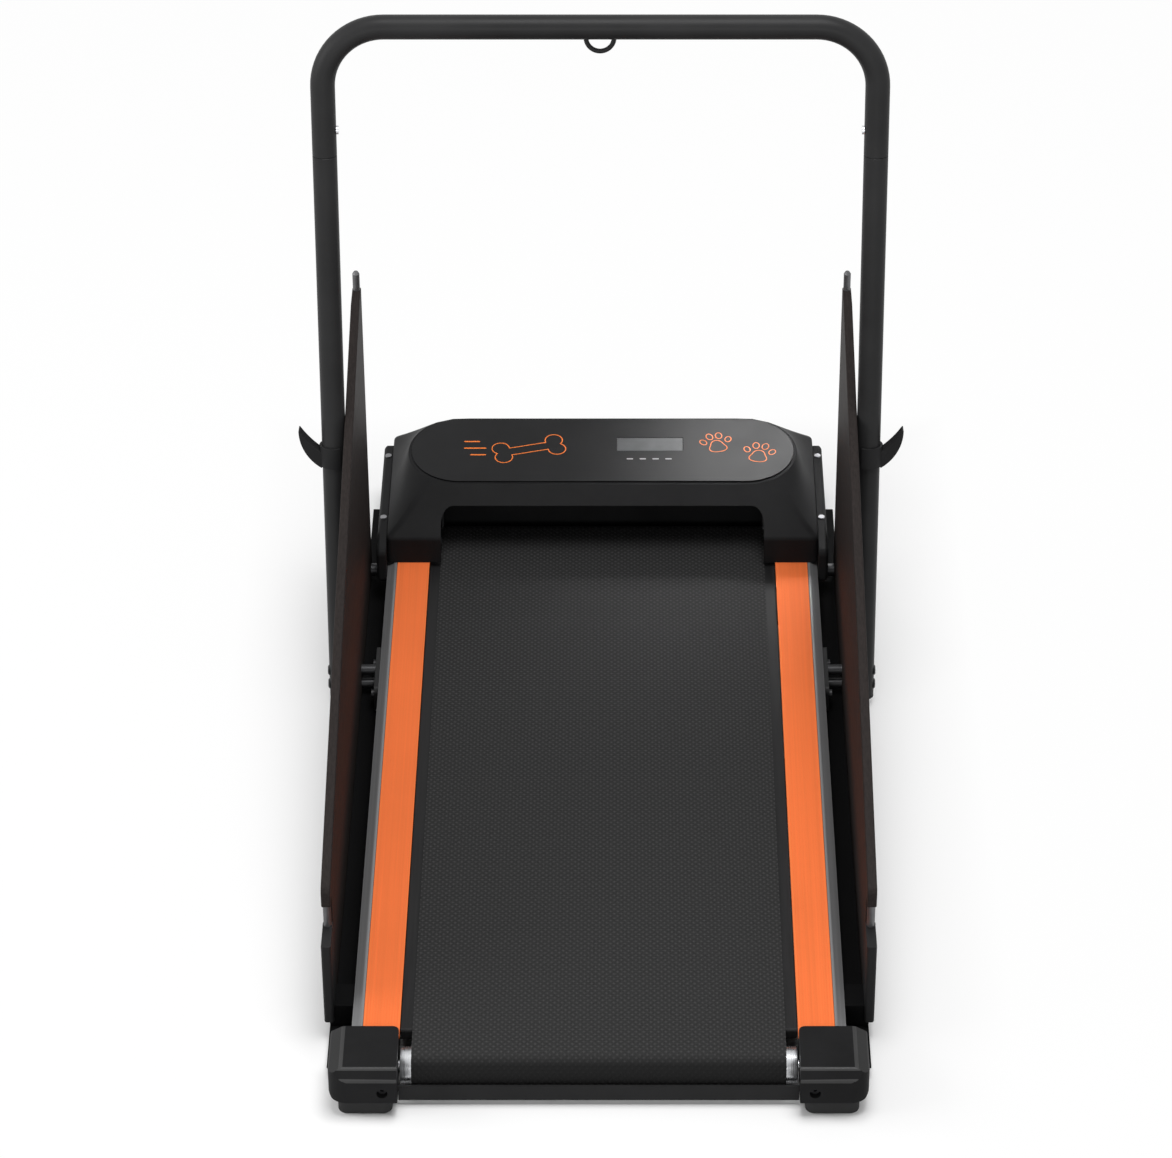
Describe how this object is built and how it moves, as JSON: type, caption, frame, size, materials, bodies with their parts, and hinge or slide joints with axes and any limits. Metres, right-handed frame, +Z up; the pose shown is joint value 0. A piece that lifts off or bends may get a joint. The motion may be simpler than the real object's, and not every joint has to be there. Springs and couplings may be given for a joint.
{
  "type": "dog treadmill",
  "caption": "Low motor-driven belt deck with orange foot rails, a guard along each side and a leaning tube frame with a leash ring.",
  "frame": {"origin": "on the floor under the middle of the machine's box", "axes": "+X to the right as seen by the dog, +Y from the dog's entry to the motor hood, +Z up"},
  "size_m": [0.706, 1.185, 0.8571],
  "materials": {
    "frame_paint": "satin black powder coat",
    "rail_black": "satin black coat",
    "foot_rail_orange": "orange, grooved lengthwise",
    "deck_black": "black-faced board",
    "rubber_black": "matt black rubber",
    "belt_black": "black belt with a fine diamond weave",
    "steel_dark": "dark grey steel",
    "bright_steel": "bright zinc plate",
    "chrome_roller": "polished steel tube",
    "rod_grey": "light grey rod",
    "cap_plastic": "textured black moulding",
    "hood_plastic": "black moulding with a soft sheen",
    "overlay_gloss": "glossy black overlay with orange line motifs",
    "display_gloss": "smoked window",
    "guard_board": "black board with a soft sheen",
    "bolt_black": "blackened steel",
    "pulley_metal": "turned aluminium",
    "motor_can": "black motor can",
    "circuit_board": "green board",
    "switch_red": "red rocker",
    "black_plastic": "plain black moulding"
  },
  "bodies": {
    "base": {"side_rail_left": "rail_black", "side_rail_right": "rail_black", "foot_rail_left": "foot_rail_orange", "foot_rail_right": "foot_rail_orange", "deck_board": "deck_black", "deck_cushions": "rubber_black", "cross_members": "steel_dark", "base_pan": "steel_dark", "running_belt": "belt_black", "rear_axle": "bright_steel", "front_axle": "bright_steel", "rear_axle_brackets": "bright_steel", "rear_cap_left": "cap_plastic", "rear_cap_right": "cap_plastic", "rear_feet": "rubber_black", "front_feet": "rubber_black", "rear_guard_strip": "black_plastic", "motor": "motor_can", "motor_mount": "steel_dark", "drive_belt": "rubber_black", "motor_controller": "circuit_board", "power_inlet": "black_plastic", "switch_housing": "black_plastic", "motor_hood": "hood_plastic", "front_skirt": "hood_plastic", "overlay_panel": "overlay_gloss", "display_window": "display_gloss", "hood_trim_left": "hood_plastic", "hood_trim_right": "hood_plastic", "trim_screws": "bright_steel", "guard_left": "guard_board", "guard_right": "guard_board", "guard_rods": "rod_grey", "guard_sockets": "black_plastic", "guard_standoffs": "bolt_black", "side_bolts": "bolt_black", "post_brackets": "steel_dark", "post_bolts": "bright_steel", "post_left": "frame_paint", "post_right": "frame_paint", "post_plugs": "black_plastic", "handle_frame": "frame_paint", "joint_sleeves": "steel_dark", "joint_bolts": "bright_steel", "leash_ring": "frame_paint", "hook_left": "black_plastic", "hook_right": "black_plastic", "wheel_forks": "steel_dark"},
    "rear_roller": {"rear_roller": "chrome_roller", "rear_bearings": "bright_steel"},
    "front_roller": {"front_roller": "chrome_roller", "front_bearings": "bright_steel", "driven_pulley": "pulley_metal"},
    "motor_rotor": {"motor_shaft": "bright_steel", "motor_pulley": "pulley_metal"},
    "tension_bolt_left": {"tension_bolt_left": "bolt_black"},
    "tension_bolt_right": {"tension_bolt_right": "bolt_black"},
    "switch_rocker": {"switch_rocker": "switch_red"},
    "wheel_left": {"wheel_left": "rubber_black"},
    "wheel_right": {"wheel_right": "rubber_black"}
  },
  "joints": [
    {"name": "front_roller_spin", "type": "hinge", "parent": "base", "child": "front_roller", "pos_m": [0, 0.4425, 0.032], "axis": [1, 0, 0], "continuous": true},
    {"name": "rear_roller_spin", "type": "hinge", "parent": "base", "child": "rear_roller", "pos_m": [0, -0.5455, 0.032], "axis": [1, 0, 0], "continuous": true},
    {"name": "motor_spin", "type": "hinge", "parent": "base", "child": "motor_rotor", "pos_m": [-0.2, 0.5175, 0.05], "axis": [1, 0, 0], "continuous": true},
    {"name": "tension_left_turn", "type": "hinge", "parent": "base", "child": "tension_bolt_left", "pos_m": [-0.23, -0.5455, 0.032], "axis": [0, 1, 0], "range_deg": [-180, 180]},
    {"name": "tension_right_turn", "type": "hinge", "parent": "base", "child": "tension_bolt_right", "pos_m": [0.23, -0.5455, 0.032], "axis": [0, 1, 0], "range_deg": [-180, 180]},
    {"name": "switch_press", "type": "hinge", "parent": "base", "child": "switch_rocker", "pos_m": [0.168, 0.5878, 0.04], "axis": [-1, 0, 0], "range_deg": [0, 16]},
    {"name": "wheel_left_spin", "type": "hinge", "parent": "base", "child": "wheel_left", "pos_m": [-0.241, 0.5705, 0.0185], "axis": [1, 0, 0], "continuous": true},
    {"name": "wheel_right_spin", "type": "hinge", "parent": "base", "child": "wheel_right", "pos_m": [0.241, 0.5705, 0.0185], "axis": [1, 0, 0], "continuous": true}
  ],
  "couplings": [
    {"joint": "rear_roller_spin", "follows": "front_roller_spin", "ratio": 1},
    {"joint": "motor_spin", "follows": "front_roller_spin", "ratio": 2.4545}
  ]
}
